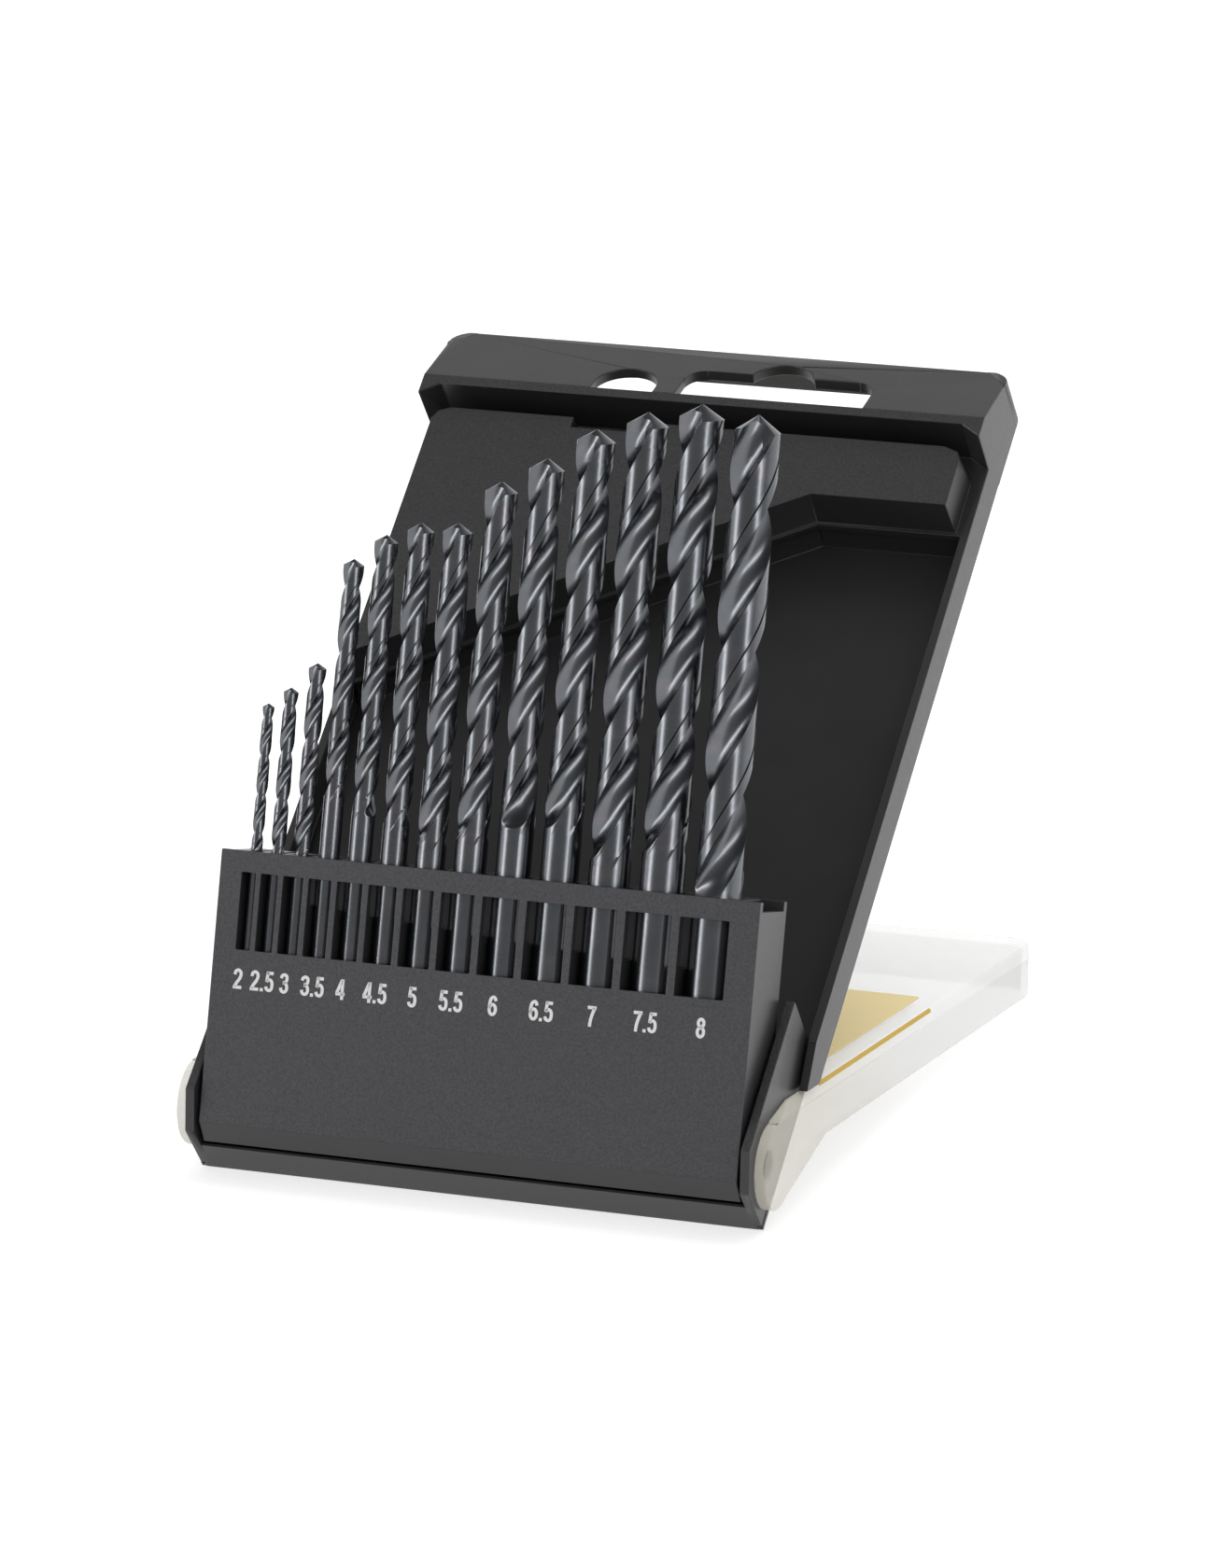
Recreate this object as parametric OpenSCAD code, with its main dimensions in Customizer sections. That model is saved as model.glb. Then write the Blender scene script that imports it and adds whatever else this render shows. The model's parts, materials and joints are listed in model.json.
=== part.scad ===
// Drill bit case: a moulded back shell with two ears, a tilting rack that
// holds thirteen twist drills, and a clear cover that folds right round
// behind the shell and props it up.
//
// Frame: X to the right, Y to the back, Z up, millimetres, standing on Z = 0.
// Shell, rack and cover share one hinge line along X. Each is drawn in a
// frame of its own with the hinge line at its origin, its length along +Z
// and its front towards -Y, and is then leant back by its own angle.

/* [Drill bits] */
// Diameter of the smallest drill bit
first_bit_d = 2; // [1.5:0.1:2.5]
// Growth in diameter from one bit to the next
bit_step = 0.5; // [0.3:0.05:0.6]
// Overall lengths, smallest bit first
bit_len = [49, 57, 61, 70, 75, 80, 86, 93, 93, 101, 109, 109, 117]; // [45:1:120]
// Lengths of the fluted ends, smallest bit first
flute_len = [26, 30, 34, 41, 48, 52, 55, 61, 63, 68, 76, 76, 82]; // [24:1:84]
// How deep each bit stands in the rack, smallest bit first
seat_depth = [24, 29, 28.5, 19.5, 20, 22.5, 28, 27.5, 23, 25.5, 30, 28, 37]; // [18:0.5:38]
// Helix lead of the flutes, in diameters
flute_lead = 5.8; // [4:0.2:7]
// Full angle of the ground point
point_angle = 118; // [100:1:140]

/* [Rack] */
// Spare width of each window beside its bit
window_spare = 0.6; // [0.4:0.1:1.2]
// Width of the narrowest bar between two windows
bar_w = 0.9; // [0.8:0.1:1.4]
// Growth of the bars from one to the next
bar_growth = 0.05; // [0:0.01:0.1]
// Plain margin at each end of the row of windows
end_margin = 4.55; // [4.2:0.05:7]
// Sideways offset of the row in the rack
row_offset = -0.55; // [-0.6:0.05:0.6]
// Wall thickness of the rack
rack_wall = 1.5; // [1.2:0.1:1.8]
// Depth of the rack from front to back
rack_depth = 14.1; // [13:0.1:14.3]
// Height of the rack above the hinge line
rack_top = 43.5; // [41:0.5:46]
// Height of the windows
window_h = 13.1; // [8:0.1:15]
// Strip of front wall above the windows
window_drop = 3.6; // [2.5:0.1:6]
// Height of the chamfer along the front bottom edge
rack_chamfer_h = 3.4; // [2:0.1:4]
// Depth of the chamfer along the front bottom edge
rack_chamfer_d = 3.0; // [2:0.1:4]
// Step down of the rack's end walls
end_wall_drop = 1.65; // [0.5:0.05:3]
// Gap that a bit has in its pocket, front and back
pocket_gap = 0.1; // [0.05:0.05:0.2]

/* [Back shell] */
// Overall length of the back shell
shell_len = 173.7; // [172:0.1:185]
// Height of the side rims above the back face
rim_h = 7.4; // [6.8:0.1:7.4]
// Thickness of the side rims
rim_t = 1.54; // [1.2:0.02:1.8]
// Thickness of the shell's floor
floor_t = 1.0; // [0.8:0.05:1.2]
// Wall thickness of the raised pad and the head
pad_wall = 1.6; // [1.2:0.1:2]
// Thickness of the wall across the bottom
foot_t = 1.5; // [1.2:0.1:1.6]
// Height of the wall across the bottom
foot_h = 6.8; // [5:0.1:6.8]
// Height of the chamfer inside that wall, which clears the tilted rack
foot_chamfer_h = 1.8; // [1.6:0.1:2.5]
// Depth of that chamfer
foot_chamfer_t = 1.0; // [0.9:0.05:1.1]
// Step from the flat back to the side rims
back_step = 0.1; // [0.05:0.05:0.2]
// Thickness of the ears
ear_t = 1.6; // [1.4:0.1:2]
// Length of the ears
ear_len = 34.7; // [30:0.1:34.9]
// Height of the raised pad above the back face
pad_h = 14.5; // [12:0.1:14.5]
// Distance from the foot to the pad's top edge
pad_top = 153.45; // [151:0.05:153.5]
// Height of the pad along its short level lower edge
pad_short = 12.65; // [8:0.05:14]
// Rise of the pad's slanting lower edge
pad_slant_rise = 42.2; // [20:0.2:48]
// Place of the corner where the slanting edge starts
pad_corner_x = 24.6; // [15:0.1:40]
// Distance of the pad's sides from the sides of the shell
pad_margin = 3.1; // [2.9:0.05:3.5]
// Radius of the pad's top corners
pad_round = 2.8; // [2.8:0.1:4]
// Draft of the pad's sides over its full height
pad_draft = 1.35; // [0.5:0.05:1.4]
// Gap between the pad's top edge and the head
groove_w = 3.25; // [3.2:0.05:4]
// Depth of the notch in the pad's top edge
notch_depth = 2.3; // [1.9:0.1:3]
// Width of the notch in the pad's top edge
notch_w = 16; // [10:1:24]
// Place of the notch's middle, and of the small hang slot
notch_x = -15; // [-20:0.5:-14]
// Height of the head's lip above the back face
lip_h = 16.95; // [16.9:0.05:18]
// Thickness of the head's lip
lip_t = 1.8; // [1.4:0.1:2]
// Thickness of the head's end wall at the crest
head_end_t = 2; // [1.6:0.1:2.9]
// Thickness of the head's end wall at the back
head_edge_t = 0.8; // [0.7:0.1:2]
// Gap that the end wall leaves above the back plane, for a hook's end
hook_gap = 1.6; // [1:0.1:3]

/* [Hang slots] */
// Width of the small round-topped slot
small_slot_w = 11.6; // [8:0.2:14]
// Height of the small slot along the slanting face
small_slot_h = 7.9; // [7:0.1:9]
// Width of the wide hang slot
wide_slot_w = 35; // [30:0.5:40]
// Height of the wide slot's arms
wide_slot_h = 9.2; // [8:0.1:10]
// Height of the wide slot's middle dome
wide_slot_dome = 13.5; // [12:0.1:14]
// Place of the wide slot's middle
wide_slot_x = 12.5; // [10:0.5:16]

/* [Clear cover] */
// Length of the cover from the hinge line
cover_len = 146.9; // [146.4:0.1:147.2]
// Height of the cover above the hinge line
cover_rise = 9.4; // [9.4:0.1:10.4]
// Thickness of the cover's front panel
panel_t = 1.2; // [0.9:0.05:1.2]
// Thickness of the cover's arms and side walls
arm_t = 1.9; // [1.6:0.1:2.1]
// Thickness of the cover's end wall
end_wall_t = 1.3; // [1:0.1:1.4]
// Radius of the round hinge end of each arm
disc_r = 7.42; // [6.5:0.02:7.6]
// Radius of the cover's far corners
corner_r = 7; // [6:0.5:8]
// Radius inside the cover's far corners
inner_corner_r = 3.5; // [2.5:0.5:3.5]
// Width of the bevel along the cover's sides
bevel_w = 1.5; // [0.8:0.1:1.6]
// Height of the bevel along the cover's sides
bevel_h = 2.1; // [1:0.1:2.4]
// Radius of the hinge bosses
boss_r = 2.5; // [2:0.1:3]
// Thickness of the label
label_t = 0.15; // [0.1:0.01:0.2]
// Margin beside the label
label_margin = 5.1; // [4:0.1:12]
// Distance from the hinge line to the label's near edge
label_near = 32; // [30:1:60]
// Distance from the cover's far edge to the label's far edge
label_far = 55.4; // [12:0.1:60]

/* [Pose and clearances] */
// Lean of the back shell from upright as it stands open
shell_lean = 50; // [46:0.5:54]
// Lean of the rack from upright as it stands open
rack_lean = 14.4; // [12:0.2:18]
// Distance from the foot to the hinge line, along the shell
pivot_s = 8.2; // [7.8:0.1:9]
// Distance from the back face to the hinge line
pivot_t = 7.45; // [7.45:0.05:7.8]
// Radius of the rack's lower back corner about the hinge line
rack_heel_r = 6.2; // [5:0.1:6.2]
// Front of the rack, forward of the hinge line
rack_front = 7.9; // [7.5:0.05:7.9]
// Running clearance of a boss in its bore
bore_gap = 0.05; // [0.03:0.01:0.1]
// Side gap between the rack and the ears
rack_gap = 0.7; // [0.4:0.1:1]
// Side gap between the ears and the cover's arms
arm_gap = 0.3; // [0.2:0.05:0.4]
// Gap between the closed cover's edge and the rim
edge_gap = 0.15; // [0.1:0.05:0.3]
// Gap left at the open stop
stop_gap = 0.25; // [0.15:0.05:0.4]

/* [Hidden] */
FIRST_BIT_NODE = 4;
$fn = 64;
CUT = 1;              // how far a cutting solid runs past the face it opens
LAP = 0.01;           // thickness of the slices that a draft is hulled from
LET_IN = 0.1;         // how far one outline is let into the one that it joins
LAP_X = 0.4;          // sideways lap of the floor's middle and its sides, under the ears

shell_color = "#4a4a4d";
cover_color = "#f1efe8";
label_color = "#ecdca6";
steel_color = "#31373d";

// Row of windows: each is as wide as its bit and the spare width
bit_count = len(bit_len);
last_bit = bit_count - 1;
function bit_d(i) = first_bit_d + i * bit_step;
function pairs_below(i) = i * (i - 1) / 2;
function row_to(i) = i * (first_bit_d + window_spare + bar_w)
    + (bit_step + bar_growth) * pairs_below(i);
row_w = row_to(bit_count) - bar_w - last_bit * bar_growth;
rack_w = row_w + 2 * end_margin;
row_start = -row_w / 2 + row_offset;
function window_x(i) = row_start + row_to(i);
function window_w(i) = bit_d(i) + window_spare;
function bit_x(i) = window_x(i) + window_w(i) / 2;
function bit_back(i) = rack_wall + pocket_gap + bit_d(i) / 2;

// Widths, built outwards from the rack
ear_in = rack_w / 2 + rack_gap;
ear_out = ear_in + ear_t;
arm_in = ear_out + arm_gap;
half_w = arm_in + arm_t;
flat_half = ear_in + ear_t / 2;  // half width of the flat back

// Open pose: the shell rests on its foot and on the cover's far edge
pivot_z = pivot_s * cos(shell_lean) + pivot_t * sin(shell_lean);
cover_low = rim_h + edge_gap - pivot_t;
cover_fall = asin((pivot_z + cover_low) / cover_len);
cover_lean = 90 + cover_fall;
heel_s = -0.2;        // lowest point of the ears' sloping front corner
heel_t = 11.3;
toe_s = 5;
ear_h = cover_rise + pivot_t - 0.1;
front_reach = max((pivot_s - heel_s) * sin(shell_lean) + (heel_t - pivot_t) * cos(shell_lean),
    (pivot_s - toe_s) * sin(shell_lean) + (ear_h - pivot_t) * cos(shell_lean));
back_reach = cover_len * cos(cover_fall) + cover_rise * sin(cover_fall);
pivot_y = (front_reach - back_reach) / 2;

// Shell stations along its length
pad_low = pad_top - pad_short;
head_low = pad_top + groove_w;
lip_top = head_low + lip_t;
head_fall = 2.1;      // the head's end face slopes back by this much
crest_h = 10;         // height of the head's top edge above the back face
slope_angle = atan2(lip_h - crest_h, shell_len - lip_top);
hollow_turn = 0.4;    // the head's hollow is a little steeper than its slanting face
gusset_w = 3.8;       // small corner webs under the ends of the lip
gusset_h = 2.4;
crown = 2;            // cut corners of the head

// Cover stations along its length
panel_start = ear_len - pivot_s + 1;
kink = 24.7;          // where the arm's lower edge meets the straight edge
arm_shoulder = 8;     // where the arm's top edge levels out

// A frame hung on the hinge line and leant back
module on_hinge(lean) translate([0, pivot_y, pivot_z]) rotate([-lean, 0, 0]) children();

// A side profile, drawn in Y and Z, as a bar from x0 to x1
module across(x0, x1) translate([x0, 0, 0]) rotate([90, 0, 90])
    linear_extrude(x1 - x0) children();

// A front outline, drawn in X and Z, from depth y0 (front) to y1
module through(y0, y1) translate([0, y1, 0]) rotate([90, 0, 0])
    linear_extrude(y1 - y0) children();

// Both sides of the case
module both_sides() { children(); mirror([1, 0, 0]) children(); }

// Shell coordinates: t above the back face, s up from the foot
function ts(t, s) = [pivot_t - t, s - pivot_s];
function yt(t) = pivot_t - t;

// Point where a line from [v, w] runs into the hinge disc, just short of touching it
function touch(v, w, side) = let(r = disc_r - LET_IN, a = atan2(w, v) + side * acos(r / norm([v, w])))
    [-r * sin(a), r * cos(a)];

// ---- Back shell ---------------------------------------------------------

// Rounded top corner of the pad, from its side at x to its top
function pad_turn(x, top, out) = [for (a = [0, 45, 90])
    [x - out * pad_round * (1 - cos(a)), top - pad_round * (1 - sin(a))]];

// Outline of the raised pad in X and s, drawn in by inset
module pad_right(inset, low, top) polygon(concat(
    [[pad_corner_x - CUT, top], [pad_corner_x - CUT, low], [pad_side - inset, low]],
    pad_turn(pad_side - inset, top, 1)));
module pad_left(inset, low, top) polygon(concat(
    [[pad_corner_x, top], [pad_corner_x, low],
        [inset - pad_side, low - pad_slope * (pad_corner_x + pad_side - inset)]],
    pad_turn(inset - pad_side, top, -1)));
pad_side = half_w - pad_margin;
pad_slope = pad_slant_rise / (pad_corner_x + pad_side);

module pad_solid(inset, low, top, t0, t1) for (half = [0, 1]) hull() {
    through(yt(t0) - LAP, yt(t0)) translate([0, -pivot_s])
        if (half == 0) pad_right(inset - pad_draft, low - pad_draft, top);
        else pad_left(inset - pad_draft, low - pad_draft, top);
    through(yt(t1), yt(t1) + LAP) translate([0, -pivot_s])
        if (half == 0) pad_right(inset, low, top);
        else pad_left(inset, low, top);
}

// Ledge level with the rims, round the pad and along the groove
module ledge() through(yt(rim_h), yt(rim_h - pad_wall)) translate([0, -pivot_s]) polygon([
    [half_w, pad_low - pad_draft], [half_w, head_low + pad_wall],
    [-half_w, head_low + pad_wall],
    [-half_w, pad_low - pad_draft - pad_slope * (pad_corner_x + half_w)],
    [pad_corner_x, pad_low - pad_draft]]);

module head_outline() polygon([
    ts(0, head_low), ts(lip_h, head_low), ts(lip_h, lip_top),
    ts(crest_h, shell_len), ts(0, shell_len - head_fall)]);
module head_hollow() polygon([
    ts(-CUT, head_low + pad_wall), ts(lip_h - pad_wall - hollow_turn, head_low + pad_wall),
    ts(crest_h - pad_wall + hollow_turn, shell_len - head_end_t),
    ts(hook_gap, shell_len - head_fall - head_edge_t), ts(hook_gap, shell_len + CUT),
    ts(-CUT, shell_len + CUT)]);

module head() difference() {
    union() {
        across(-half_w, half_w) head_outline();
        both_sides() through(yt(lip_h), yt(rim_h) + CUT) translate([0, -pivot_s])
            polygon([[half_w, head_low - gusset_h], [half_w, head_low + CUT],
                [half_w - gusset_w, head_low + CUT], [half_w - gusset_w, head_low]]);
    }
    both_sides() translate([half_w, 0, shell_len - pivot_s]) rotate([0, 45, 0])
        cube([crown * sqrt(2), 4 * lip_h, 2 * crown * sqrt(2)], center = true);
}

// Hang slots, cut square to the head's slanting face
module small_slot() intersection() {
    translate([-small_slot_w / 2, 0]) square([small_slot_w, small_slot_h]);
    union() {
        translate([0, small_slot_h - small_slot_w / 2]) circle(small_slot_w / 2);
        translate([-small_slot_w / 2, 0]) square([small_slot_w, small_slot_h - small_slot_w / 2]);
    }
}
slot_corner = 3.5;    // rounded ends of the wide slot's arms
slot_dome_r = 6;      // round top of the wide slot
module wide_slot() {
    translate([-wide_slot_w / 2, 0]) square([wide_slot_w, wide_slot_h - slot_corner]);
    translate([slot_corner - wide_slot_w / 2, 0])
        square([wide_slot_w - 2 * slot_corner, wide_slot_h]);
    for (side = [-1, 1]) translate([side * (wide_slot_w / 2 - slot_corner), wide_slot_h - slot_corner])
        circle(slot_corner);
    translate([0, wide_slot_dome - slot_dome_r]) circle(slot_dome_r);
    translate([-slot_dome_r, 0]) square([2 * slot_dome_r, wide_slot_dome - slot_dome_r]);
}
module hang_slots() translate([0, yt(lip_h), lip_top - pivot_s]) rotate([-slope_angle, 0, 0])
    through(-3 * CUT, 2.6 * pad_wall) {
        translate([notch_x, 0]) small_slot();
        translate([wide_slot_x, 0]) wide_slot();
    }

// Side plate that carries the hinge
module ear_outline() polygon([ts(floor_t / 2, LET_IN), ts(floor_t / 2, ear_len),
    ts(ear_h, ear_len), ts(ear_h, toe_s), ts(heel_t, heel_s)]);

// Room for the cover's arm, folded back and folded shut, beside each ear
module arm_room() both_sides() {
    rotate([shell_lean - cover_lean, 0, 0]) across(ear_out + LET_IN, half_w + CUT)
        polygon([[-cover_rise - stop_gap, -2 * disc_r], [-cover_rise - stop_gap, 3 * kink],
            [4 * disc_r, 3 * kink], [4 * disc_r, -2 * disc_r]]);
    across(ear_out + LET_IN / 2, half_w + CUT) polygon([
        touch(kink, cover_low, -1) + [stop_gap, 0], [stop_gap - cover_low, kink],
        [-2 * cover_rise, kink], [-2 * cover_rise, -disc_r]]);
}

module back_shell() color(shell_color) on_hinge(shell_lean) difference() {
    union() {
        across(-flat_half, flat_half) polygon([ts(0, 0), ts(0, head_low), ts(floor_t, head_low),
            ts(floor_t, foot_t), ts(foot_h - foot_chamfer_h, foot_t),
            ts(foot_h, foot_t - foot_chamfer_t), ts(foot_h, 0)]);
        both_sides() across(flat_half - LAP_X, half_w) polygon([ts(back_step, 0),
            ts(back_step, head_low), ts(floor_t, head_low), ts(floor_t, 0)]);
        both_sides() across(half_w - rim_t, half_w)
            polygon([ts(back_step, 0), ts(back_step, shell_len - head_fall - crown),
                ts(rim_h, shell_len - crown), ts(rim_h, 0)]);
        both_sides() across(ear_in, ear_out) ear_outline();
        ledge();
        pad_solid(0, pad_low, pad_top, 0, pad_h);
        head();
    }
    pad_solid(pad_wall, pad_low + pad_wall, pad_top - notch_depth - pad_wall, -CUT, pad_h - pad_wall);
    across(rim_t - half_w, half_w - rim_t) polygon([
        ts(-CUT, pad_top - notch_depth - pad_wall), ts(-CUT, head_low + 2 * pad_wall),
        ts(rim_h - pad_wall, head_low + 2 * pad_wall),
        ts(rim_h - pad_wall, pad_top - notch_depth - pad_wall)]);
    across(rim_t - half_w, half_w - rim_t) head_hollow();
    hang_slots();
    through(yt(pad_h) - CUT, yt(rim_h)) translate([notch_x - notch_w / 2, pad_top - notch_depth - pivot_s])
        square([notch_w, notch_depth + CUT]);
    arm_room();
    translate([-half_w, 0, 0]) rotate([0, 90, 0]) cylinder(r = boss_r + bore_gap, h = 2 * half_w);
}

// ---- Bit rack -----------------------------------------------------------

module rack_outline() {
    polygon([[-rack_front, rack_top], [-rack_front, rack_chamfer_h - rack_heel_r],
        [rack_chamfer_d - rack_front, -rack_heel_r], [0, -rack_heel_r], [0, 0],
        [rack_heel_r, 0], [rack_depth - rack_front, 0], [rack_depth - rack_front, rack_top]]);
    circle(rack_heel_r);
}

// How far the open throat beside a pocket reaches below the window's top
function throat_drop(i) = 5 + 0.95 * (bit_d(i) - 4);
first_throat = 3;
window_top = rack_top - window_drop;

module pocket(i) {
    depth = bit_d(i) + 2 * pocket_gap;
    translate([window_x(i), rack_wall - rack_front, rack_top - seat_depth[i] - pocket_gap])
        cube([window_w(i), depth, seat_depth[i] + pocket_gap + CUT]);
    translate([window_x(i), -rack_front - CUT, window_top - window_h])
        cube([window_w(i), CUT + rack_wall + depth / 2, window_h]);
    translate([bit_x(i) - bit_d(i) / 4, -rack_front + rack_wall, window_top - window_h])
        cube([bit_d(i) / 2, rack_depth, window_h + window_drop + CUT]);
    if (i >= first_throat)
        translate([window_x(i) - 2 * bar_w, rack_wall - rack_front, window_top - throat_drop(i)])
            cube([2 * bar_w + CUT, depth / 2, throat_drop(i) + window_drop + CUT]);
}

module bit_rack() color(shell_color) on_hinge(rack_lean) difference() {
    across(-rack_w / 2, rack_w / 2) rack_outline();
    for (i = [0:last_bit]) pocket(i);
    both_sides() translate([rack_w / 2 - rack_wall, rack_wall - rack_front, rack_top - end_wall_drop])
        cube([rack_wall + CUT, rack_depth - 2 * rack_wall, end_wall_drop + CUT]);
    translate([window_x(last_bit) + window_w(last_bit) + bar_w, rack_wall - rack_front, window_top - window_h])
        cube([rack_w / 2 - rack_wall - window_x(last_bit) - window_w(last_bit) - bar_w,
            rack_depth - 2 * rack_wall, window_h + window_drop + CUT]);
    both_sides() translate([rack_w / 2 - rack_wall - 2 * arm_gap, 0, 0]) rotate([0, 90, 0])
        cylinder(r = boss_r + bore_gap, h = 3 * rack_wall);
}

// ---- Clear cover --------------------------------------------------------

// Cross-section of the cover, drawn in X and Y
module cover_section() polygon([[-half_w, -cover_low], [-half_w, bevel_h - cover_rise],
    [bevel_w - half_w, -cover_rise], [half_w - bevel_w, -cover_rise],
    [half_w, bevel_h - cover_rise], [half_w, -cover_low]]);

// Plan of the cover with round far corners, drawn in X and Z
module cover_plan(w, start, end, r) {
    translate([-w, start]) square([2 * w, end - start - r]);
    translate([r - w, start]) square([2 * (w - r), end - start]);
    for (side = [-1, 1]) translate([side * (w - r), end - r]) circle(r);
}

module arm_outline() {
    circle(disc_r);
    polygon([touch(kink, cover_low, -1), [-cover_low, kink], [-cover_low, panel_start + CUT],
        [-cover_rise, panel_start + CUT], [-cover_rise, arm_shoulder],
        touch(arm_shoulder, cover_rise, 1), [0, 0]]);
}

latch_w = notch_w - 2;          // tab that drops into the pad's notch
latch_reach = 1.6;
latch_low = 1;
latch_high = 6;

module clear_cover() color(cover_color) on_hinge(cover_lean) {
    difference() {
        intersection() {
            translate([0, 0, panel_start]) linear_extrude(cover_len - panel_start) cover_section();
            through(-2 * cover_rise, cover_rise) cover_plan(half_w, 0, cover_len, corner_r);
        }
        through(panel_t - cover_rise, cover_rise)
            cover_plan(half_w - arm_t, panel_start - CUT, cover_len - end_wall_t, inner_corner_r);
    }
    both_sides() intersection() {
        across(half_w - arm_t, half_w) arm_outline();
        translate([0, 0, -disc_r - CUT]) linear_extrude(panel_start + disc_r + 2 * CUT)
            translate([0, 0]) polygon([[0, 2 * disc_r], [0, -cover_rise],
                [half_w - bevel_w, -cover_rise], [half_w, bevel_h - cover_rise], [half_w, 2 * disc_r]]);
    }
    both_sides() translate([rack_w / 2 - rack_wall - arm_gap, 0, 0]) rotate([0, 90, 0])
        cylinder(r = boss_r, h = arm_in + arm_t / 2 - rack_w / 2 + rack_wall + arm_gap);
    translate([notch_x - latch_w / 2, -latch_high, cover_len - end_wall_t - latch_reach])
        cube([latch_w, latch_high - latch_low, latch_reach + end_wall_t / 2]);
}

module cover_label() color(label_color) on_hinge(cover_lean)
    through(-cover_rise - label_t, -cover_rise)
        cover_plan(half_w - label_margin, label_near, cover_len - label_far, 1);

// ---- Drill bits ---------------------------------------------------------

turn_step = 30;       // twist between two rings of the fluted end, in degrees
ring_points = 18;     // points round each ring
flute_half = 60;      // half of the angle that a flute takes up
flute_depth = 0.62;   // depth of a flute, in radii
body_relief = 0.985;  // fluted body against the shank
root_in = 0.6;        // how far the fluted end is let into the shank

// Radius of the fluted section at an angle, in bit radii
function section_r(angle, open) = let(a = angle % 180, f = a > 90 ? a - 180 : a)
    body_relief * (abs(f) < flute_half
        ? 1 - open * flute_depth * pow(cos(90 * f / flute_half), 2) : 1);

// One ring of the fluted end, turned to follow the helix
function ring(d, z, turn, open) = [for (k = [0:ring_points - 1])
    let(a = 360 * k / ring_points, r = d / 2 * section_r(a, open))
    [r * cos(a + turn * z), r * sin(a + turn * z), z]];

module fluted_end(d, h, point_h) {
    turn = 360 / (flute_lead * d);
    steps = ceil(turn * (h - point_h) / turn_step);
    rings = concat([ring(0.94 * d, -root_in, turn, 0)],
        [for (j = [0:steps]) ring(d, (h - point_h) * j / steps, turn, min(1, j / 2))]);
    tip = len(rings) * ring_points;
    next = function (k) (k + 1) % ring_points;
    polyhedron(
        points = concat([for (one = rings) each one], [[0, 0, h]]),
        faces = concat(
            [[for (k = [0:ring_points - 1]) k]],
            [for (j = [0:len(rings) - 2], k = [0:ring_points - 1], side = [0, 1])
                let(low = j * ring_points, high = low + ring_points)
                side == 0 ? [low + k, high + next(k), low + next(k)]
                    : [low + k, high + k, high + next(k)]],
            [for (k = [0:ring_points - 1]) [tip - ring_points + k, tip,
                tip - ring_points + next(k)]]));
}

module drill_bit(i) {
    d = bit_d(i);
    color(steel_color) on_hinge(rack_lean)
        translate([bit_x(i), bit_back(i) - rack_front, rack_top - seat_depth[i]]) {
            cylinder(d = d, h = bit_len[i] - flute_len[i]);
            translate([0, 0, bit_len[i] - flute_len[i]])
                fluted_end(d, flute_len[i], d / 2 / tan(point_angle / 2));
        }
}

back_shell();
bit_rack();
clear_cover();
cover_label();
for (i = [0:last_bit])
    drill_bit(i);
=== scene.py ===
"""Drill bit case: the looks of the moulded case, its thirteen twist drills and its clear cover.

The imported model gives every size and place. Shell, rack and cover are the CAD shapes with rounded
edges and real finishes. The drill bits are modelled again here, with ground margins, flutes and
points. Metres, +X along the hinge line, +Y to the back, +Z up.
"""

import json
import math

import bmesh
import bpy
import numpy as np
from mathutils import Matrix, Vector
from mathutils.bvhtree import BVHTree


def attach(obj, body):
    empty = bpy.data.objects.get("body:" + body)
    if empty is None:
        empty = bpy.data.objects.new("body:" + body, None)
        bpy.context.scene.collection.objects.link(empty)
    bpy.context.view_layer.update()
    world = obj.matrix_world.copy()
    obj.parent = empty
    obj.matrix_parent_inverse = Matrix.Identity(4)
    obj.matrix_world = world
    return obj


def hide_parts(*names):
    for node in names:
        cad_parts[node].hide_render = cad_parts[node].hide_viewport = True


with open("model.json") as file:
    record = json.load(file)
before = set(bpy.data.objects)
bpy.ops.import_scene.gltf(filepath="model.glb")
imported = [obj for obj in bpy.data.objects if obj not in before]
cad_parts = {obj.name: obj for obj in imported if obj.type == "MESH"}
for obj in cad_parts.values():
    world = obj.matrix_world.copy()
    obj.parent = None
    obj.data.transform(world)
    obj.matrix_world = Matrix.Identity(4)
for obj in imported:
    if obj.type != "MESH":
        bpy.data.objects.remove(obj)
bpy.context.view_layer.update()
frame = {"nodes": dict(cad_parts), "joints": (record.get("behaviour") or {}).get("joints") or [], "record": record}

MM = 0.001

# ---- Where things are, read from the frame -------------------------------------------------


def named(rows, name):
    """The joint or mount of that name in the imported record."""
    return next(row for row in rows if row["name"] == name)


BITS = sorted(n for n in frame["nodes"] if n.startswith("drill_bit_"))
HINGE = Vector(named(frame["joints"], "cover_hinge")["pos_m"])
BACK_FACE = named(frame["record"]["mounts"], "back_face")["axis"]
LIFT = named(frame["joints"], "bit_lift_8_0")["axis"]
COVER_LENGTH = 146.9 * MM  # hinge line to the far edge, which rests on the floor
COVER_LOW = 0.1 * MM  # the cover's open side, forward of the hinge line

SHELL_LEAN = math.atan2(-BACK_FACE[2], BACK_FACE[1])
RACK_LEAN = math.atan2(-LIFT[1], -LIFT[2])
COVER_LEAN = math.pi / 2 + math.asin((HINGE.z + COVER_LOW) / COVER_LENGTH)


def leaning(lean):
    """The frame of a piece that hangs on the hinge line: x right, -y front, z along the piece."""
    return Matrix.Translation(HINGE) @ Matrix.Rotation(-lean, 4, "X")


def local_box(node, lean):
    """Lowest and highest corner of a CAD node in its own leaning frame."""
    to_local = leaning(lean).inverted()
    points = np.array([to_local @ v.co for v in frame["nodes"][node].data.vertices])
    return Vector(points.min(0)), Vector(points.max(0))


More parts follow.
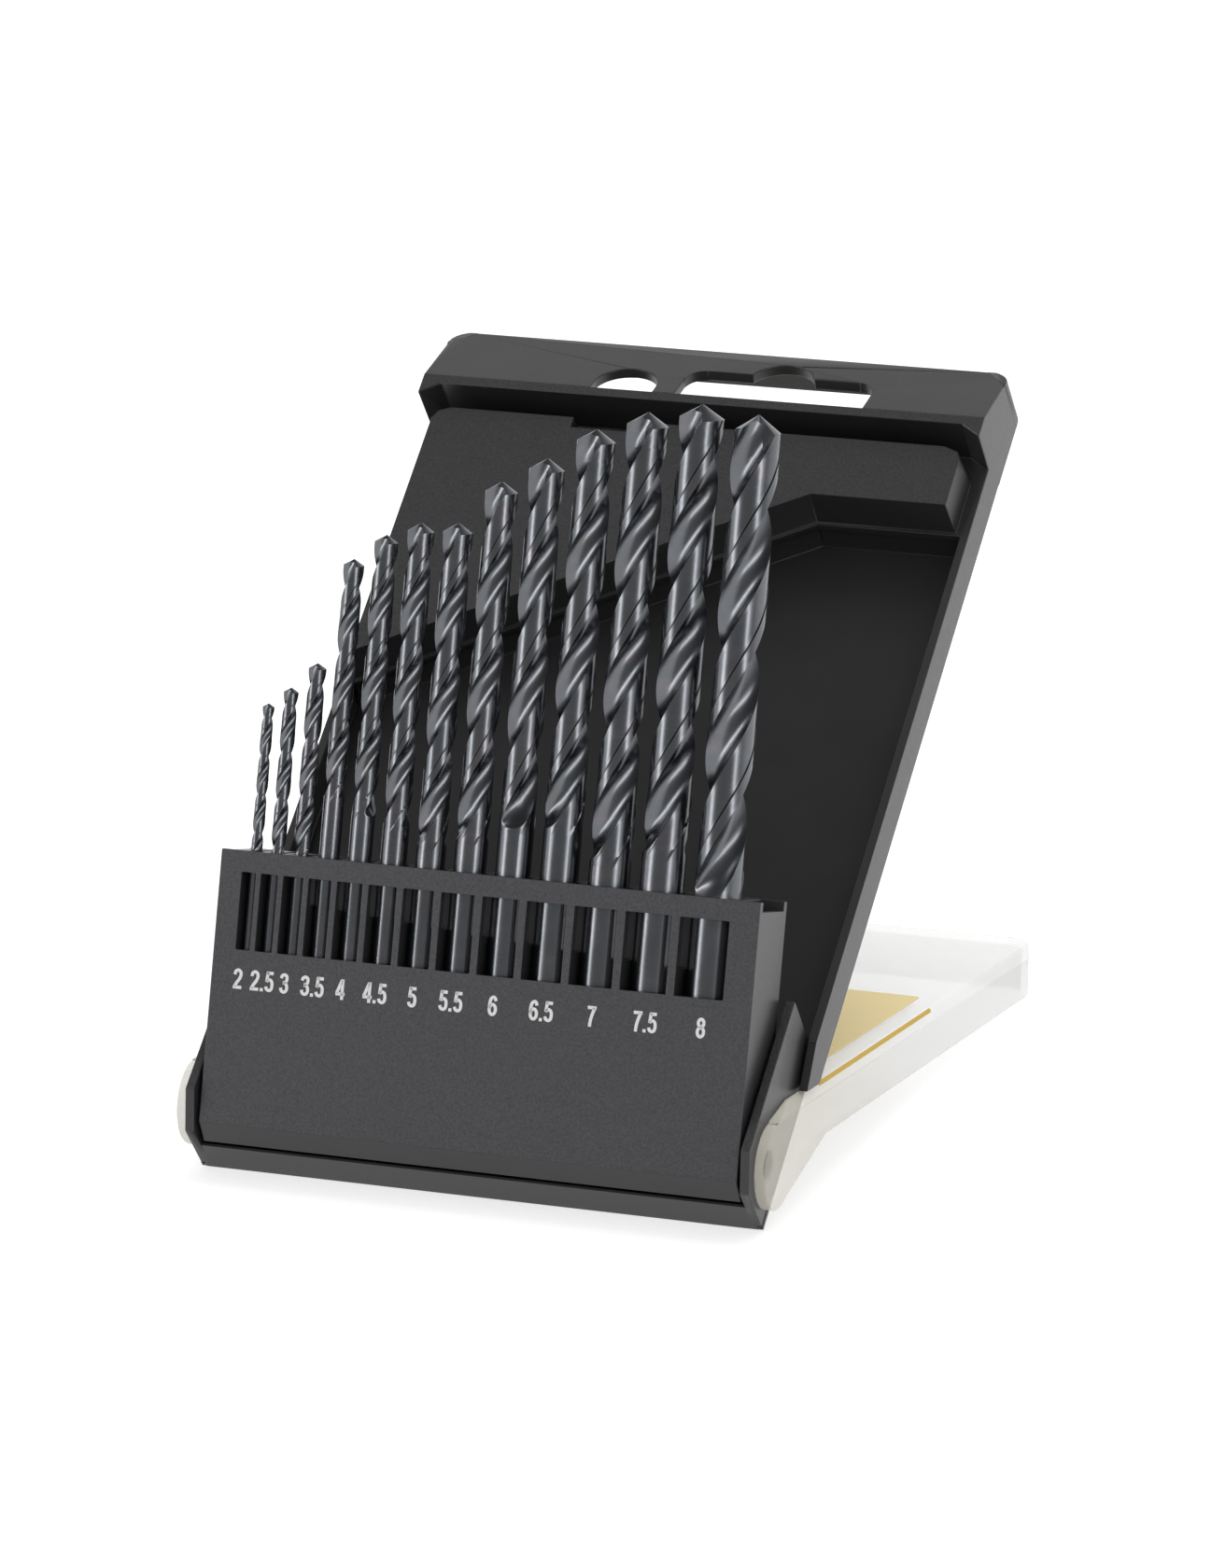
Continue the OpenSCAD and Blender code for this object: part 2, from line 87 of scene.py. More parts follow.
def link(name, mesh, body):
    """A new piece of the object, riding on a body."""
    piece = bpy.data.objects.new(name, mesh)
    bpy.context.scene.collection.objects.link(piece)
    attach(piece, body)
    return piece


# ---- Materials -----------------------------------------------------------------------------


def srgb(text):
    """Linear RGBA of an sRGB hex colour."""
    parts = [int(text[i : i + 2], 16) / 255 for i in (1, 3, 5)]
    return (*(c / 12.92 if c <= 0.04045 else ((c + 0.055) / 1.055) ** 2.4 for c in parts), 1)


def new_material(name):
    material = bpy.data.materials.new(name)
    material.use_nodes = True
    material.node_tree.nodes.clear()
    return material, material.node_tree


def add(tree, kind, inputs=None, **settings):
    """Adds a node with its settings. Its inputs go by name or number, and are set or linked."""
    node = tree.nodes.new(kind)
    for key, value in settings.items():
        setattr(node, key, value)
    for key, value in (inputs or {}).items():
        if isinstance(value, bpy.types.NodeSocket):
            tree.links.new(value, node.inputs[key])
        else:
            node.inputs[key].default_value = value
    return node


def spark_eroded_black(name, dark, light):
    """Black polypropylene from a spark-eroded mould wall: a fine even grain that scatters light."""
    grain = 0.42 * MM
    mottle = 9 * MM
    material, tree = new_material(name)
    place = add(tree, "ShaderNodeTexCoord").outputs["Object"]
    fine = add(tree, "ShaderNodeTexNoise", {"Vector": place, "Scale": 1 / grain, "Detail": 2.0,
                                            "Roughness": 0.6})
    soft = add(tree, "ShaderNodeTexNoise", {"Vector": place, "Scale": 1 / mottle, "Detail": 3.0})
    bump = add(tree, "ShaderNodeBump", {"Height": fine.outputs["Fac"], "Strength": 0.9,
                                        "Distance": 0.09 * MM})
    peak = add(tree, "ShaderNodeMapRange", {"Value": fine.outputs["Fac"], "From Min": 0.3,
                                            "From Max": 0.7})
    shade = add(tree, "ShaderNodeMix", {0: peak.outputs["Result"], 6: srgb(dark),
                                        7: srgb(light)}, data_type="RGBA")
    dull = add(tree, "ShaderNodeMapRange", {"Value": soft.outputs["Fac"], "To Min": 0.52,
                                            "To Max": 0.64})
    skin = add(tree, "ShaderNodeBsdfPrincipled", {
        "Base Color": shade.outputs[2], "Roughness": dull.outputs["Result"],
        "Normal": bump.outputs["Normal"], "IOR": 1.49})
    add(tree, "ShaderNodeOutputMaterial", {"Surface": skin.outputs["BSDF"]})
    return material


def satin_black(name, dark, light):
    """Black polypropylene from a drawn, wiped mould wall: satin, with faint flow marks and dust."""
    flow = 14 * MM
    scuff = 0.8 * MM
    material, tree = new_material(name)
    place = add(tree, "ShaderNodeTexCoord").outputs["Object"]
    wide = add(tree, "ShaderNodeTexNoise", {"Vector": place, "Scale": 1 / flow, "Detail": 2.0})
    tight = add(tree, "ShaderNodeTexNoise", {"Vector": place, "Scale": 1 / scuff, "Detail": 4.0})
    bump = add(tree, "ShaderNodeBump", {"Height": tight.outputs["Fac"], "Strength": 0.12,
                                        "Distance": 0.02 * MM})
    shade = add(tree, "ShaderNodeMix", {0: wide.outputs["Fac"], 6: srgb(dark),
                                        7: srgb(light)}, data_type="RGBA")
    dull = add(tree, "ShaderNodeMapRange", {"Value": tight.outputs["Fac"], "To Min": 0.3,
                                            "To Max": 0.42})
    skin = add(tree, "ShaderNodeBsdfPrincipled", {
        "Base Color": shade.outputs[2], "Roughness": dull.outputs["Result"],
        "Normal": bump.outputs["Normal"], "IOR": 1.49})
    add(tree, "ShaderNodeOutputMaterial", {"Surface": skin.outputs["BSDF"]})
    return material


def clear_polypropylene(name, density):
    """Natural polypropylene, moulded thin: milky clear, a little warm where the wall is thick.
    density is how much of the light a wall stops when it is looked at squarely."""
    haze = 6 * MM
    material, tree = new_material(name)
    place = add(tree, "ShaderNodeTexCoord").outputs["Object"]
    cloud = add(tree, "ShaderNodeTexNoise", {"Vector": place, "Scale": 1 / haze, "Detail": 2.0})
    along = add(tree, "ShaderNodeSeparateXYZ", {"Vector": place})
    warm = add(tree, "ShaderNodeMapRange", {
        "Value": along.outputs["Y"], "From Min": HINGE.y + 20 * MM, "From Max": HINGE.y + 75 * MM})
    tint = add(tree, "ShaderNodeMix", {0: warm.outputs["Result"], 6: srgb("#f7f2e2"),
                                       7: srgb("#fbfbfa")}, data_type="RGBA")
    edge = add(tree, "ShaderNodeLayerWeight", {"Blend": 0.3})
    body = add(tree, "ShaderNodeMapRange", {"Value": edge.outputs["Facing"],
                                            "To Min": density, "To Max": density + 0.2})
    milk = add(tree, "ShaderNodeMapRange", {"Value": cloud.outputs["Fac"], "To Min": 0.2,
                                            "To Max": 0.3})
    skin = add(tree, "ShaderNodeBsdfPrincipled", {
        "Base Color": tint.outputs[2], "Roughness": milk.outputs["Result"],
        "Alpha": body.outputs["Result"], "IOR": 1.49})
    add(tree, "ShaderNodeOutputMaterial", {"Surface": skin.outputs["BSDF"]})
    return material


def label_paper(name, dark, light):
    """Yellow label stock, matt, with the faint fibre of paper."""
    fibre = 0.5 * MM
    material, tree = new_material(name)
    place = add(tree, "ShaderNodeTexCoord").outputs["Object"]
    pulp = add(tree, "ShaderNodeTexNoise", {"Vector": place, "Scale": 1 / fibre, "Detail": 4.0})
    shade = add(tree, "ShaderNodeMix", {0: pulp.outputs["Fac"], 6: srgb(dark),
                                        7: srgb(light)}, data_type="RGBA")
    bump = add(tree, "ShaderNodeBump", {"Height": pulp.outputs["Fac"], "Strength": 0.2,
                                        "Distance": 0.02 * MM})
    skin = add(tree, "ShaderNodeBsdfPrincipled", {
        "Base Color": shade.outputs[2], "Roughness": 0.6, "Normal": bump.outputs["Normal"]})
    add(tree, "ShaderNodeOutputMaterial", {"Surface": skin.outputs["BSDF"]})
    return material


def oxide_steel():
    """High-speed steel with a steam oxide skin: dark grey, satin, with grinding lines across the
    flutes. The lines are drawn coarser than real ones, so that they show."""
    line = 0.3 * MM
    bloom = 5 * MM
    material, tree = new_material("steam_oxide_high_speed_steel")
    place = add(tree, "ShaderNodeTexCoord").outputs["Object"]
    ground = add(tree, "ShaderNodeUVMap", uv_map="along_the_flute").outputs["UV"]
    stretch = add(tree, "ShaderNodeMapping", {
        "Vector": ground, "Scale": (1 / (9 * line), 1 / line, 1)})
    scratch = add(tree, "ShaderNodeTexNoise", {"Vector": stretch.outputs["Vector"], "Scale": 1.0,
                                               "Detail": 3.0})
    stain = add(tree, "ShaderNodeTexNoise", {"Vector": place, "Scale": 1 / bloom, "Detail": 3.0,
                                             "Roughness": 0.6})
    skin_tone = add(tree, "ShaderNodeValToRGB", {"Fac": stain.outputs["Fac"]})
    ramp = skin_tone.color_ramp.elements
    ramp[0].position, ramp[0].color = 0.3, srgb("#68686a")
    ramp[1].position, ramp[1].color = 0.72, srgb("#747276")
    middle = ramp.new(0.5)
    middle.color = srgb("#686b6f")
    bump = add(tree, "ShaderNodeBump", {"Height": scratch.outputs["Fac"], "Strength": 0.2,
                                        "Distance": 0.012 * MM})
    rough = add(tree, "ShaderNodeMapRange", {"Value": scratch.outputs["Fac"], "To Min": 0.2,
                                             "To Max": 0.3})
    skin = add(tree, "ShaderNodeBsdfPrincipled", {
        "Base Color": skin_tone.outputs["Color"], "Metallic": 1.0,
        "Roughness": rough.outputs["Result"], "Normal": bump.outputs["Normal"]})
    add(tree, "ShaderNodeOutputMaterial", {"Surface": skin.outputs["BSDF"]})
    return material


def white_ink():
    """Pad-printed white ink: thin and matt, a little uneven over the grain under it."""
    patch = 0.4 * MM
    material, tree = new_material("pad_printed_white_ink")
    place = add(tree, "ShaderNodeTexCoord").outputs["Object"]
    thin = add(tree, "ShaderNodeTexNoise", {"Vector": place, "Scale": 1 / patch, "Detail": 2.0})
    shade = add(tree, "ShaderNodeMix", {0: thin.outputs["Fac"], 6: srgb("#ececec"),
                                        7: srgb("#fbfbfb")}, data_type="RGBA")
    skin = add(tree, "ShaderNodeBsdfPrincipled", {
        "Base Color": shade.outputs[2], "Roughness": 0.55})
    add(tree, "ShaderNodeOutputMaterial", {"Surface": skin.outputs["BSDF"]})
    return material


GRAINED = spark_eroded_black("spark_eroded_black_polypropylene", "#37373a", "#4c4c50")
# A darker copy of the grain for the raised pad's front: painted shade on the pad, which leans up towards the lamps
PAD_SHADE_GRAIN = spark_eroded_black("pad_painted_shade_grained_polypropylene", "#2a2a2c", "#39393b")
SATIN = satin_black("satin_black_polypropylene", "#2f2f31", "#363638")
# A darker copy of the satin for the room round the bits: painted shade in the recess
RECESS_SHADE_SATIN = satin_black("recess_painted_shade_satin_polypropylene", "#252527", "#2e2e30")
CLEAR = clear_polypropylene("natural_clear_polypropylene", 0.3)
# A denser copy of the clear plastic: the boss's ribs seen through the arm, and a painted highlight on the pin's
# middle
BOSS_LINES_AND_GLINT = clear_polypropylene("boss_strokes_and_painted_glint_polypropylene", 0.75)
PAPER = label_paper("matt_yellow_label_paper", "#f6dd93", "#fbe9b4")
# An ochre copy of the label paper, for the painted reflection of the label's edge in the cover's bevel
LABEL_REFLECTION_PAINT = label_paper("painted_label_reflection_ochre", "#cda63a", "#dcb950")
OXIDE = oxide_steel()
INK = white_ink()

# ---- Moulded pieces: the CAD shapes with rounded edges -------------------------------------

WELD = 0.002  # mm, within which the CAD's corners are one
SHARP = math.radians(24)  # an edge that turns by more than this is rounded
ROOM = 2.3  # flat width that a rounding needs beside its edge, in radii
OFF_FACE, OFF_NORMAL = 0.02, 0.9  # mm, and how square: what still counts as the same face
FACING = 0.95  # how squarely a face looks to the front


def moulded(name, node, lean, body, materials, skin, edge, reshape=None):
    """The CAD shape of a moulding with its edges rounded, in place of the CAD node.

    skin and edge take a place in the piece's own frame, in mm. skin also takes the face's normal
    and returns the number of its material, and edge returns the radius of an edge in mm, or the
    largest radius where the place is None. reshape changes the shape in the piece's own frame
    before its edges are rounded."""
    cad = frame["nodes"][node].data
    shape = bmesh.new()
    shape.from_mesh(cad)
    bmesh.ops.remove_doubles(shape, verts=shape.verts, dist=WELD * MM)
    shape.normal_update()
    to_local = leaning(lean).inverted()
    turn = to_local.to_3x3()
    if reshape:
        shape.transform(to_local)
        reshape(shape)
        shape.transform(leaning(lean))
        shape.normal_update()
    for face in shape.faces:
        face.material_index = skin(turn @ face.normal, (to_local @ face.calc_center_median()) / MM)
        face.smooth = True
    surface = BVHTree.FromBMesh(shape)

    def has_room(corner, along, face, reach):
        """Whether the face goes on for that reach beside the edge."""
        inward = face.normal.cross(along).normalized() * reach
        if (face.calc_center_median() - corner).dot(inward) < 0:
            inward.negate()
        for share in (0.15, 0.5, 0.85):
            _, normal, _, gap = surface.find_nearest(corner + along * share + inward)
            if gap > OFF_FACE * MM or normal.dot(face.normal) < OFF_NORMAL:
                return False
        return True

    widest = edge(None)
    weight = shape.edges.layers.float.new("bevel_weight_edge")
    for line in shape.edges:
        if line.calc_face_angle(0) < SHARP:
            continue
        corner, along = line.verts[0].co, line.verts[1].co - line.verts[0].co
        radius = edge((to_local @ (corner + along / 2)) / MM)
        reach = ROOM * radius * MM
        if along.length > reach and all(has_room(corner, along, f, reach) for f in line.link_faces):
            line[weight] = radius / widest
        else:
            line.smooth = False
    mesh = bpy.data.meshes.new(name)
    shape.to_mesh(mesh)
    shape.free()
    for material in materials:
        mesh.materials.append(material)
    piece = link(name, mesh, body)
    soft = piece.modifiers.new("rounded_edges", "BEVEL")
    soft.width, soft.segments, soft.limit_method = widest * MM, 3, "WEIGHT"
    soft.use_clamp_overlap = False
    even = piece.modifiers.new("even_shading", "WEIGHTED_NORMAL")
    even.keep_sharp = True
    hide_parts(node)
    return piece


# The shell's own places, in mm in its leaning frame
PAD_FRONT = -6.5  # everything in front of this that faces forward is the raised pad
# The room for the bits gets the darker satin as painted shade
INSIDE_HALF, INSIDE_LOW, INSIDE_HIGH, INSIDE_BACK = 51.2, 5, 150, 6.9  # the room for the bits
PAD_CORNER_X, PAD_CORNER_LOW, PAD_CORNER_HIGH = 44, 139, 152
PAD_CORNER_EDGE, SHELL_EDGE, RACK_EDGE, COVER_EDGE = 0.4, 0.22, 0.16, 0.3  # radii of edges, mm


def shell_skin(normal, middle):
    """The raised pad's front is grained, and darker as painted shade; the room round the bits is satin, darker as
    painted shade in the recess.
    """
    # The pad's front gets the darker grain: painted shade
    if -normal.y > FACING and middle.y < PAD_FRONT:
        return 1
    # The room round the bits gets the darker satin: painted shade in the recess
    inside = (abs(middle.x) < INSIDE_HALF and INSIDE_LOW < middle.z < INSIDE_HIGH
              and PAD_FRONT < middle.y < INSIDE_BACK)
    return 2 if inside else 0


def shell_edge(middle):
    """The pad's top corners are rounded most."""
    if middle is None:
        return PAD_CORNER_EDGE
    at_corner = (abs(middle.x) > PAD_CORNER_X and middle.y < 0
                 and PAD_CORNER_LOW < middle.z < PAD_CORNER_HIGH)
    return PAD_CORNER_EDGE if at_corner else SHELL_EDGE


# The head's own places, in mm in the shell's frame
END_WALL_FROM, END_WALL_FRONT, END_WALL_BACK = 162.4, 5.5, 6.2  # where its low edge lies
END_WALL_CUT = Vector((0, -2.3, 0.35))  # how far the low edge goes back along the wall
HEAD_HALF, HEAD_END, HEAD_BACK, HEAD_CORNER = 52.5, 165.5, 7.43, 3.41
HEAD_CREST = Vector((0, -2.55, 165.5))  # a place on the head's top edge
HEAD_SLOPE, HEAD_END_FACE = Vector((0, -0.908, 0.418)), Vector((0, 0.206, 0.979))  # their normals
CORNER_STEPS = (15, 30, 45, 60, 75)  # degrees, directions of the faces round a corner
FILL_SIZE, FILL_MIDDLE = 16, 160  # the block that a corner's filling is cut from
FILL_INSIDE = Vector((50.8, 0, 162.8))  # where a corner's filling ends inside the head
FILL_OVER = 0.02  # how far it stands over the faces round it


def cut_away(shape, place, away):
    """Cuts off what lies beyond a plane, and closes the cut. place is in mm."""
    bmesh.ops.bisect_plane(shape, geom=shape.verts[:] + shape.edges[:] + shape.faces[:], dist=1e-6,
                           plane_co=place * MM, plane_no=away, clear_outer=True)
    bmesh.ops.holes_fill(shape, edges=[line for line in shape.edges if line.is_boundary], sides=0)


def corner_planes(side, over):
    """Planes round one end corner of the head, as places and normals, this far over it."""
    middle = Vector((side * (HEAD_HALF - HEAD_CORNER), 0, HEAD_END - HEAD_CORNER))
    for degrees in CORNER_STEPS:
        a = math.radians(degrees)
        away = Vector((side * math.cos(a), 0, math.sin(a)))
        yield middle + away * (HEAD_CORNER + over), away


def rounded_head(shape):
    """Rounds the head's two end corners. The low edge of its end wall is also cut back, so that
    light shows through the slots."""
    for vert in shape.verts:
        in_low_edge = END_WALL_FRONT * MM < vert.co.y < END_WALL_BACK * MM
        if vert.co.z > END_WALL_FROM * MM and in_low_edge:
            vert.co += END_WALL_CUT * MM
    for side in (-1, 1):
        for place, away in corner_planes(side, 0):
            cut_away(shape, place, away)
        block = bmesh.new()
        middle = Vector((side * (HEAD_HALF + FILL_OVER - FILL_SIZE / 2),
                         HEAD_BACK - FILL_SIZE / 2, FILL_MIDDLE))
        bmesh.ops.create_cube(block, size=FILL_SIZE * MM, matrix=Matrix.Translation(middle * MM))
        cut_away(block, HEAD_CREST + HEAD_SLOPE * FILL_OVER, HEAD_SLOPE)
        cut_away(block, HEAD_CREST + HEAD_END_FACE * FILL_OVER, HEAD_END_FACE)
        cut_away(block, Vector((side * FILL_INSIDE.x, 0, FILL_INSIDE.z)),
                 Vector((-side, 0, -1)).normalized())
        for place, away in corner_planes(side, FILL_OVER):
            cut_away(block, place, away)
        filling = bpy.data.meshes.new("head_corner")
        block.to_mesh(filling)
        block.free()
        shape.from_mesh(filling)
        bpy.data.meshes.remove(filling)


RACK_FRONT = -7.5  # mm in the rack's frame


def rack_skin(normal, middle):
    """The rack's front is grained."""
    return int(-normal.y > FACING and middle.y < RACK_FRONT)


moulded("moulded_back_shell", "back_shell", SHELL_LEAN, "shell",
        [SATIN, PAD_SHADE_GRAIN, RECESS_SHADE_SATIN], shell_skin, shell_edge, rounded_head)
moulded("moulded_bit_rack", "bit_rack", RACK_LEAN, "rack", [SATIN, GRAINED],
        rack_skin, lambda middle: RACK_EDGE)
moulded("moulded_clear_cover", "clear_cover", COVER_LEAN, "cover", [CLEAR],
        lambda normal, middle: 0, lambda middle: COVER_EDGE)
label = frame["nodes"]["cover_label"]
label.data.materials.clear()
label.data.materials.append(PAPER)

STRIP_THICKNESS = 0.03  # mm
DROP = 30  # mm from which a strip's places drop onto the cover


def on_cover(name, strips, material, away):
    """Thin strips on the cover's outside. A strip is two lines of places in the cover's frame, in
    mm. Each place drops onto the cover from the side that away points to."""
    to_local = leaning(COVER_LEAN).inverted()
    cad = frame["nodes"]["clear_cover"].data
    skin = BVHTree.FromPolygons([to_local @ v.co for v in cad.vertices],
                                [tuple(face.vertices) for face in cad.polygons])
    verts, faces = [], []
    for strip in strips:
        first = len(verts)
        for place in strip:
            start = Vector(place) * MM + away * DROP * MM
            verts.append(skin.ray_cast(start, -away)[0] + away * STRIP_THICKNESS * MM)
        half = len(strip) // 2
        faces += [(first + k, first + half + k, first + half + k + 1, first + k + 1)
                  for k in range(half - 1)]
    mesh = bpy.data.meshes.new(name)
    mesh.from_pydata(verts, [], faces)
    mesh.transform(leaning(COVER_LEAN))
    mesh.materials.append(material)
    return link(name, mesh, "cover")


# A painted reflection: the label's yellow edge as it shows, refracted, in the bevel along the cover's right side,
# laid on as an ochre strip
LABEL_REFLECTION_STRIP = [(x, 0, z) for x in (51.15, 51.6) for z in np.linspace(23, 85, 9)]
on_cover("painted_label_reflection_strip", [LABEL_REFLECTION_STRIP], LABEL_REFLECTION_PAINT, Vector((0, -1, 0)))


def spoke(start, end, wide):
    """A strip on the arm's outer face between two places, each (forward, along) in mm."""
    start, end = Vector(start), Vector(end)
    side = Vector((start.y - end.y, end.x - start.x)).normalized() * wide / 2
    lines = [[start + side, end + side], [start - side, end - side]]
    return [(0, -p.x, p.y) for line in lines for p in line]


# Faint lines of the hinge boss's ribs that show through the arm, and a painted highlight: the bright middle of the
# pin, where the two wider strips cross
BOSS_SPOKES_AND_GLINT = [spoke((7.0, 5.0), (-0.2, 4.9), 0.35), spoke((1.1, -6.6), (0.1, 8.6), 0.35),
          spoke((2.4, -1.2), (-1.6, 1.0), 0.5), spoke((2.0, 1.6), (-1.4, -1.8), 0.5)]
on_cover("hinge_boss_strokes_and_painted_glint", BOSS_SPOKES_AND_GLINT, BOSS_LINES_AND_GLINT, Vector((1, 0, 0)))

# ---- Drill bits ----------------------------------------------------------------------------

# One value for each bit, smallest first, in mm: fluted length from the tip, helix lead, and how far
# below the tip a cutting edge first comes to the front
FLUTED = (26, 30, 34, 41, 48, 52, 55, 61, 63, 68, 76, 76, 82)
LEAD = (13.0, 16.0, 19.0, 22.5, 25.5, 28.5, 31.5, 35.0, 39.8, 39.6, 43.2, 44.2, 47.4)
EDGE_DROP = (4.0, 5.0, 6.0, 7.5, 8.5, 9.5, 10.5, 12.0, 14.0, 13.8, 15.0, 13.7, 20.8)
FRONT = math.radians(20.08 - 90)  # the side of a bit that looks at the camera
LIP = math.radians(87)  # a land runs from its heel, at 0, to its cutting lip
MARGIN = math.radians(26)  # width of the ground margin beside the lip
CLEARED = 0.965  # radius of the relieved land, in bit radii
GROOVE = 0.925  # radius of the fine groove between the relieved land and its margin
HOLLOW = 0.31  # how far a flute is hollowed below the chord from lip to heel, in bit radii
RUN_OUT = 1.15  # length over which the flute runs out, in diameters
HALF_POINT = math.radians(59)
RELIEF = 0.16  # how far the point falls away behind its lips
SHANK_CHAMFER = 0.3  # mm
SUNK = 0.86  # how far the flute's run-out still lifts its floor where it starts, in bit radii
RUN_OUT_ROWS = 46
RING_TURN = math.radians(6)  # turn of the helix from one row of points to the next
CREASE = math.radians(38)


def section():
    """One half of the ground section: angle, radius and how far behind its lip each point is."""
    step = math.radians(2.4)
    land = [(a, CLEARED, LIP - a) for a in np.linspace(0, LIP - MARGIN - step, 8)]
    groove = [(LIP - MARGIN, GROOVE, MARGIN)]
    margin = [(a, 1.0, LIP - a) for a in np.linspace(LIP - MARGIN + step, LIP, 5)]
    lip, heel = Vector((math.cos(LIP), math.sin(LIP))), Vector((-CLEARED, 0))
    chord = heel - lip
    bend = (chord.length**2 / 4 + HOLLOW**2) / (2 * HOLLOW)
    middle = (lip + heel) / 2 + Vector((chord.y, -chord.x)).normalized() * (bend - HOLLOW)
    first, last = (lip - middle), (heel - middle)
    sweep = first.angle(last)
    flute = []
    for share in np.linspace(0, 1, 27)[1:-1]:
        point = middle + Matrix.Rotation(-sweep * share, 2) @ first
        angle = math.atan2(point.y, point.x)
        behind = (math.pi + LIP - angle) * min(1.0, max(0.0, (share - 0.38) / 0.12))
        flute.append((angle, point.length, behind))
    return land + groove + margin + flute


def bit_mesh(name, d, length, fluted, lead, edge_drop):
    """A twist drill standing on z = 0: shank, flutes that run out into it, and a ground point."""
    half = np.array(section())
    angle = np.concatenate([half[:, 0], half[:, 0] + math.pi])
    radius, behind = np.tile(half[:, 1], 2), np.tile(half[:, 2], 2)
    r = d / 2
    rise = r / math.tan(HALF_POINT)
    turn = 2 * math.pi / lead
    tip_turn = FRONT + turn * edge_drop - LIP
    start = length - fluted
    rim = length - radius * rise - RELIEF * r * radius * behind
    last = rim.min() - 0.02 * d
    run = RUN_OUT * d
    steps = [0, SHANK_CHAMFER * MM, start * 0.5, start]
    steps += list(start + run * np.linspace(0, 1, RUN_OUT_ROWS)[1:])
    steps += list(np.arange(start + run, last, RING_TURN / turn)[1:]) + [last]
    rows = []
    for z in steps:
        u = (z - start) / run
        lift = 1.0 if u <= 0 else SUNK * max(0.0, 1 - u) ** 2
        relieved = CLEARED + (1 - CLEARED) * min(1.0, max(0.0, 1 - u * 4))
        cap = np.where(radius == CLEARED, relieved, 1.0)
        grown = np.minimum(cap, np.where(radius < CLEARED, radius + lift, cap))
        if z == 0:
            grown = grown - SHANK_CHAMFER * MM / r
        rows.append((grown * r, np.full(len(angle), z)))
    for t in (0.25, 0.5, 0.75, 1.0):
        rows.append((radius * r, last + (rim - last) * t))
    verts = []
    for reach, z in rows:
        a = angle + turn * (np.maximum(z, start) - length) + tip_turn
        verts.append(np.stack([reach * np.cos(a), reach * np.sin(a), z], 1))
    edge = verts[-1]
    for s in (0.8, 0.6, 0.4, 0.2):
        ring = edge * [s, s, 1.0]
        ring[:, 2] = length - s * (length - rim)
        verts.append(ring)
    count = len(angle)
    points = np.concatenate(verts + [np.array([[0, 0, length], [0, 0, 0]])])
    faces = [(j * count + k, j * count + (k + 1) % count, (j + 1) * count + (k + 1) % count,
              (j + 1) * count + k) for j in range(len(verts) - 1) for k in range(count)]
    top, base = len(points) - 2, len(points) - 1
    high = (len(verts) - 1) * count
    faces += [(high + k, high + (k + 1) % count, top) for k in range(count)]
    faces += [((k + 1) % count, k, base) for k in range(count)]
    mesh = bpy.data.meshes.new(name)
    mesh.from_pydata(points.tolist(), [], faces)
    uv = mesh.uv_layers.new(name="along_the_flute")
    around = np.arange(len(points)) % count / count * math.pi * d
    index = np.empty(len(mesh.loops), int)
    mesh.loops.foreach_get("vertex_index", index)
    flat = np.stack([around[index], points[index, 2]], 1)
    uv.data.foreach_set("uv", flat.ravel())
    mesh.shade_smooth()
    mesh.set_sharp_from_angle(angle=CREASE)
    mesh.materials.append(OXIDE)
    return mesh


def drill_bit(node, fluted, lead, edge_drop):
    """Replaces one CAD bit with the ground one, in the same place."""
    low, high = local_box(node, RACK_LEAN)
    d = round((high.x - low.x) / MM, 1) * MM
    shaft = Vector(((low.x + high.x) / 2, (low.y + high.y) / 2, low.z))
    length = high.z - low.z
    mesh = bit_mesh("ground_" + node, d, length, fluted * MM, lead * MM, edge_drop * MM)
    mesh.transform(leaning(RACK_LEAN) @ Matrix.Translation(shaft))
    piece = link("ground_" + node, mesh, "bit_" + node.removeprefix("drill_bit_"))
    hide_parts(node)


for bit in zip(BITS, FLUTED, LEAD, EDGE_DROP):
    drill_bit(*bit)

# ---- Printed sizes -------------------------------------------------------------------------

PRINT_X = (-43.1, -38.7, -34.7, -29.6, -24.5, -18.3, -11.6, -4.7, 2.8, 11.4, 20.3, 29.7,
           39.5)  # mm, middle of each number
PRINT_FOOT = 20.2  # mm, foot of the numbers above the hinge line, along the rack
PRINT_HEIGHT = 3.45  # mm
STROKE = 0.16  # stroke of the bold condensed face, as a share of its height
GLYPH_WIDTH, POINT_WIDTH, GLYPH_GAP = 0.48, 0.16, 0.06
INK_THICKNESS = 0.02  # mm


def through(points, steps):
    """A Catmull-Rom curve through points, with that many steps from one to the next."""
    p = np.array(points, float)
    p = np.concatenate([[2 * p[0] - p[1]], p, [2 * p[-1] - p[-2]]])
    t = np.arange(steps)[:, None] / steps
    legs = [0.5 * (2 * b + (c - a) * t + (2 * a - 5 * b + 4 * c - d) * t**2
                   + (3 * b - a - 3 * c + d) * t**3)
            for a, b, c, d in zip(p, p[1:], p[2:], p[3:])]
    return np.concatenate(legs + [p[-2:-1]])


def oval(x, y, wide, tall):
    """Points round an oval, from its right end."""
    turns = np.linspace(0, 2 * math.pi, 33)
    return np.stack([x + wide * np.cos(turns), y + tall * np.sin(turns)], 1)


